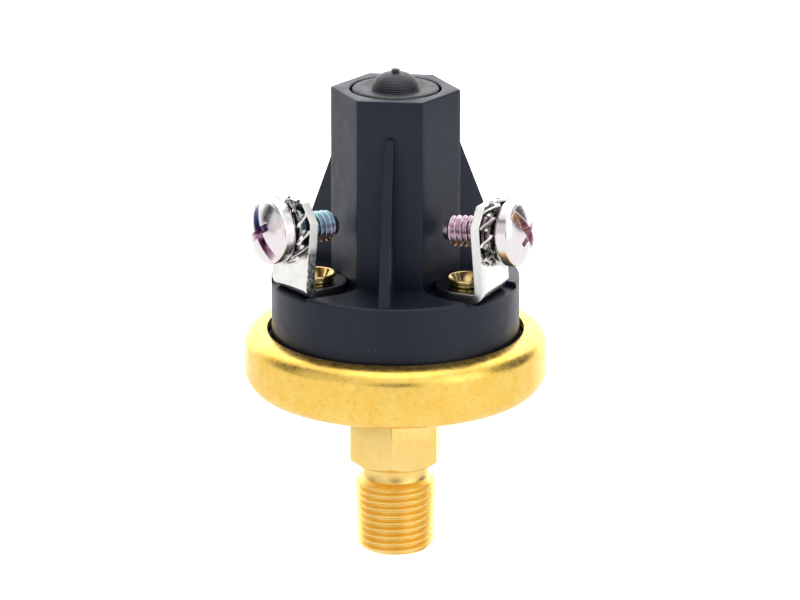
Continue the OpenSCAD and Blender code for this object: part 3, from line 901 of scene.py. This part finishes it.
def build_washer(side):
    """A lock washer: a flat ring and teeth twisted into an S, with painted shade on its ring."""
    matrix = screw_matrix(side)
    half_t, teeth = 0.25, 12
    bore_r, ring_r, shade_r, tooth_root, tooth_tip = 2.2, 3.55, 3.75, 3.2, 4.31
    twist_reach, tooth_half, tooth_flare, tooth_rise = 0.7, 0.7, 0.16, 0.72
    thin_tip_r, thin_share = 4.28, 0.75
    middle = WASHER_SPACE / 2
    ring = [(bore_r, middle - half_t, 0.1), (ring_r, middle - half_t, 0.1),
            (ring_r, middle + half_t, 0.1), (bore_r, middle + half_t, 0.1)]
    across_tooth = np.linspace(-1, 1, 11)
    rows = []
    for reach in np.linspace(tooth_root, tooth_tip, 8):
        twist = min(1, (reach - tooth_root) / twist_reach)
        half_w, rise = tooth_half + tooth_flare * twist, tooth_rise * twist
        half = half_t * (thin_share if reach > thin_tip_r else 1)
        upper = [(half_w * t, half - rise * sin(t * pi / 2)) for t in across_tooth]
        lower = [(half_w * t, -half - rise * sin(t * pi / 2)) for t in across_tooth[::-1]]
        rows.append([(reach, y, middle + z) for y, z in upper + lower])
    tooth = skin_with_caps(np.array(rows))
    washer = joined(turned(soften(ring, steps=3), 72),
                    *(spun(tooth, 360 * i / teeth) for i in range(teeth)))
    piece = mesh_piece(f"{side}_star_washer", *moved(washer, matrix), sharp=40)
    reach = reach_along(piece, matrix)[0]
    # painted shade: the ring is darkened inside shade_r, between the head and the leg
    paint(piece, "recess", np.clip((shade_r - reach) / 0.25, 0, 1))
    finish_piece(piece, f"{side}_washer", "nickel_steel", f"{side}_lock_washer")


def screw_head():
    """The pan head with its slot and cross recess, remeshed so that its edges are soft, and how
    strong the film's colours are at each of its points: only inside the slot and the cross."""
    seat, top = WASHER_SPACE, WASHER_SPACE + HEAD_H
    rise = HEAD_H - RIM_H
    dome_r = (HEAD_R * HEAD_R + rise * rise) / (2 * rise)
    centre = (0, top - dome_r)
    start = degrees(asin((dome_r - rise) / dome_r))
    dome = arc(centre, dome_r, start, 90, 18)
    outline = [(0, seat), (HEAD_R - 0.25, seat), (HEAD_R - 0.06, seat + 0.08),
               (HEAD_R, seat + 0.3), (HEAD_R, seat + RIM_H - 0.25)]
    outline += [(HEAD_R - 0.05, seat + RIM_H - 0.05), (HEAD_R - 0.2, seat + RIM_H + 0.08)]
    outline += [point for point in dome if point[0] < HEAD_R - 0.4]
    head = mesh_piece("head", *turned(outline, 128, closed_profile=False))
    slot = prism(rectangle(5, SLOT_HALF), top - SLOT_DEPTH, top + 1)
    # the cross's bottom and top: half length, half width and height
    ends = (0.45, 0.3, top - 2.0), (2.75, 0.6, top + 0.6)
    wing = skin_with_caps(np.array([[(x, y, z) for x, y in rectangle(length, width)]
                                    for length, width, z in ends]))
    cut(head, slot, wing, spun(wing, 90))
    remesh = head.modifiers.new("soften", "REMESH")
    remesh.mode = "VOXEL"
    remesh.voxel_size = FINE_VOXEL * MM
    smooth = head.modifiers.new("smooth", "SMOOTH")
    smooth.factor, smooth.iterations = 0.5, 3
    settle(head)
    points = [np.array(vert.co) / MM for vert in head.data.vertices]
    faces = [tuple(face.vertices) for face in head.data.polygons]
    bpy.data.objects.remove(head)
    film = []
    film_floor, film_r, film_depth, film_fade = seat + 0.8, HEAD_R - 0.5, 0.08, 0.35
    for x, y, z in points:
        reach = min(hypot(x, y), dome_r)
        surface = centre[1] + sqrt(dome_r * dome_r - reach * reach)
        inside = reach < film_r and z > film_floor
        film.append(np.clip((surface - z - film_depth) / film_fade, 0, 1) if inside else 0.0)
    return (np.array(points), faces), film


def screw_shank():
    """The threaded shank, which ends in a plain point."""
    tip = WASHER_SPACE - SCREW_LEN
    step_h, lead_in_slope, point_edge, point_slope, segments = 0.04, 1.6, 0.15, 2, 96
    heights = np.arange(tip, WASHER_SPACE + 0.1, step_h)
    lead_in = POINT_R + lead_in_slope * (heights - tip - POINT_LEN)
    columns = []
    for i in range(segments):
        turn = i / segments
        phase = (heights - tip) / SCREW_PITCH - turn
        off = 2 * np.abs(phase - np.round(phase))
        flank = np.sqrt(off * off + CREST_ROUND * CREST_ROUND) - CREST_ROUND
        radius = np.minimum(SCREW_R - THREAD_DEPTH * flank, np.maximum(lead_in, POINT_R))
        radius = np.minimum(radius, POINT_R - point_edge + (heights - tip) * point_slope)
        columns.append(column_at(np.column_stack((radius, heights)), turn * 2 * pi))
    return skin(np.stack(columns), closed_profile=False)


def build_screw(side, head, film):
    """A screw; the two differ in the interference colours of their film."""
    matrix = screw_matrix(side)
    shank = screw_shank()
    screw = moved(joined(spun(head, SLOT_ROLL), shank), matrix)
    piece = mesh_piece(f"{side}_binding_screw", *screw, sharp=60)
    _, height, out = reach_along(piece, matrix)
    head_middle, head_slope, shank_middle, shank_slope = FILM_TONES[side]
    on_shank = out < WASHER_SPACE - 0.05
    tone = np.where(on_shank, shank_middle + shank_slope * height / SCREW_R,
                    head_middle + head_slope * height / HEAD_R)
    paint(piece, "film", [*film, *[SHANK_FILM] * len(shank[0])])
    paint(piece, "tone", tone)
    finish_piece(piece, f"{side}_screw", "zinc_plate", f"{side}_terminal_screw")


# ---- springs ----

# mean radius, wire radius and turns
RANGE_COIL, BRIDGE_COIL = (3.15, 0.42, 8.5), (3.75, 0.19, 2.5)


def coil(mean_r, wire_r, turns, low, high, share=(0, 1)):
    """(points, faces) of a share of a compression spring with closed ends."""
    steps, sides = 40, 14
    rise = 2.3 * wire_r  # of the first turn and of the last
    span = high - low - 2 * wire_r - 2 * rise
    count = int(turns * steps)
    rows = []
    for k in range(round(share[0] * count), round(share[1] * count) + 1):
        t = k / steps
        height = (low + wire_r + rise * min(t, 1) + rise * max(0, t - turns + 1)
                  + span * min(1, max(0, (t - 1) / (turns - 2))))
        section = [(mean_r + wire_r * cos(b), height + wire_r * sin(b))
                   for b in np.linspace(0, 2 * pi, sides, endpoint=False)]
        rows.append(column_at(section, 2 * pi * t))
    return skin_with_caps(np.array(rows))


def build_springs():
    """The range spring, built in two halves that stay unattached to any body, and the bridge
    spring.
    """
    low, high = box_mm("range_spring")
    for name, share, seat_body, end in (("range_coil_lower", (0, 0.5), "plunger", low[2]),
                                        ("range_coil_upper", (0.5, 1), "spring_seat", high[2])):
        piece = mesh_piece(name, *coil(*RANGE_COIL, low[2], high[2], share), sharp=60)
        piece.data.materials.append(FINISHES["spring_steel"])
        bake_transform(piece)
        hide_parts("range_spring")
    low, high = box_mm("bridge_spring")
    piece = mesh_piece("bridge_coil", *coil(*BRIDGE_COIL, low[2], high[2]), sharp=60)
    finish_piece(piece, "plunger", "spring_steel", "bridge_spring")


# ---- what stays as CAD ----

def finish_inner_nodes():
    """The pieces inside keep their CAD shapes and get their own materials."""
    looks = {
        "gasket_rubber": ["chamber_gasket"], "diaphragm_fabric": ["diaphragm"],
        "insert_brass": ["threaded_insert"], "plunger_plastic": ["plunger"],
        "contact_copper": ["left_contact_strip", "right_contact_strip", "contact_bridge"],
        "contact_silver": ["left_contact_button", "right_contact_button", "bridge_buttons"],
        "plated_steel": ["pressure_plate", "lower_spring_seat", "upper_spring_seat"],
        "black_steel": ["adjusting_screw"],
    }
    for finish, nodes in looks.items():
        for node in nodes:
            data = frame["nodes"][node].data
            data.materials.clear()
            data.materials.append(FINISHES[finish])


# ---- surroundings ----

# direction, reach on each axis, strength, and the share of the reach that has all of it
TENT = {
    "bright_back": ((0.0, 1.0, 0.45), (1.2, 1.2, 1.1), 2.05, 0.55),
    "photographer": ((0.10, -0.97, 0.17), (0.42, 0.42, 0.30), 0.04, 0.55),
    "left_card": ((-0.88, -0.31, 0.40), (0.70, 0.66, 0.48), 0.04, 0.8),
    "right_card": ((0.875, 0.37, 0.32), (0.5, 0.5, 0.42), 0.08, 0.8),
}
FLOOR_R, FLOOR_TOP, FLOOR_BOTTOM = 3000.0, -0.02, -2.0
SOFTBOXES = {  # place and size in metres, power in watts
    "left_softbox": ((-0.55, -0.35, 0.30), (0.45, 0.5), 0.5),
    "right_softbox": ((0.55, -0.35, 0.30), (0.45, 0.5), 0.5),
    "top_softbox": ((0.0, -0.10, 0.75), (0.6, 0.5), 0.8),
}
AZIMUTH, ELEVATION, DISTANCE, TARGET_DROP = radians(5.70), radians(17.46), 0.6207, 0.000575
LENS, SENSOR, SHIFT_X, SHIFT_Y = 218.7, 36.0, 0.0056, 0.0173


def build_floor():
    """A white floor that only the camera sees, so that the world lights the object from below."""
    floor = mesh_piece("floor", *prism(circle(FLOOR_R, 96), FLOOR_BOTTOM, FLOOR_TOP))
    white = rgb(1.0, 1.0, 1.0)
    Finish("pale_floor", Base_Color=white, Roughness=0.9, Specular_IOR_Level=0.1,
           Emission_Color=white, Emission_Strength=0.6)
    floor.data.materials.append(FINISHES["pale_floor"])
    floor.visible_diffuse = floor.visible_glossy = floor.visible_shadow = False


def build_softbox(name, place, size, power, target):
    """A rectangular area light at a place, in metres, facing a target."""
    light = bpy.data.lights.new(name, "AREA")
    light.shape, light.size, light.size_y, light.energy = "RECTANGLE", *size, power
    lamp = bpy.data.objects.new(name, light)
    scene.collection.objects.link(lamp)
    lamp.location = place
    lamp.rotation_euler = (Vector(target) - Vector(place)).to_track_quat("-Z", "Y").to_euler()


def build_world():
    """A white tent: brighter behind the object, and dark where the photographer and the cards
    at its sides stand. The camera sees it white."""
    world = bpy.data.worlds.new("studio")
    scene.world = world
    world.use_nodes = True
    tent = Nodes(world.node_tree)
    direction = tent.node("TexCoord").outputs["Generated"]

    def lobe(centre, reach, strength, hold):
        """A strength towards a direction, going to 1 where the offset from it passes the reach."""
        off = tent.node("VectorMath", {0: direction, 1: centre}, operation="SUBTRACT").outputs[0]
        part = tent.node("VectorMath", {0: off, 1: [1 / r for r in reach]},
                         operation="MULTIPLY").outputs[0]
        size = tent.node("VectorMath", {0: part}, operation="LENGTH").outputs["Value"]
        return tent.node("MapRange", {"Value": size, "From Min": hold, "From Max": 1.0,
                                      "To Min": strength, "To Max": 1.0},
                         interpolation_type="SMOOTHSTEP").outputs[0]

    level, *others = (lobe(*settings) for settings in TENT.values())
    for other in others:
        level = tent.maths("MULTIPLY", level, other)
    seen = tent.node("LightPath").outputs["Is Camera Ray"]
    background = tent.tree.nodes["Background"]
    tent.feed(background.inputs["Strength"], tent.maths("MAXIMUM", level, seen))
    tent.feed(background.inputs["Color"], rgb(1.0, 1.0, 1.0))


def build_camera():
    """The photograph's viewpoint: a little round from the front and above. Returns its target."""
    target = Vector((0, 0, (CAD_BOX[0][2] + CAD_BOX[1][2]) / 2 - TARGET_DROP))
    back = Vector((sin(AZIMUTH) * cos(ELEVATION), -cos(AZIMUTH) * cos(ELEVATION), sin(ELEVATION)))
    data = bpy.data.cameras.new("camera")
    data.lens, data.sensor_width = LENS, SENSOR
    data.shift_x, data.shift_y = SHIFT_X, SHIFT_Y
    data.clip_start, data.clip_end = 0.05, 20.0
    camera = bpy.data.objects.new("camera", data)
    scene.collection.objects.link(camera)
    camera.location = target + back * DISTANCE
    camera.rotation_euler = back.to_track_quat("Z", "Y").to_euler()
    scene.camera = camera
    return target


build_fitting()
build_cup()
build_housing()
build_plug()
head_part, head_film = screw_head()
for terminal_side in ("left", "right"):
    build_terminal(terminal_side)
    build_eyelet(terminal_side)
    build_washer(terminal_side)
    build_screw(terminal_side, head_part, head_film)
build_springs()
finish_inner_nodes()

view_target = build_camera()
build_floor()
build_world()
scene.view_settings.view_transform = "Standard"
for box_name, settings in SOFTBOXES.items():
    build_softbox(box_name, *settings, view_target)
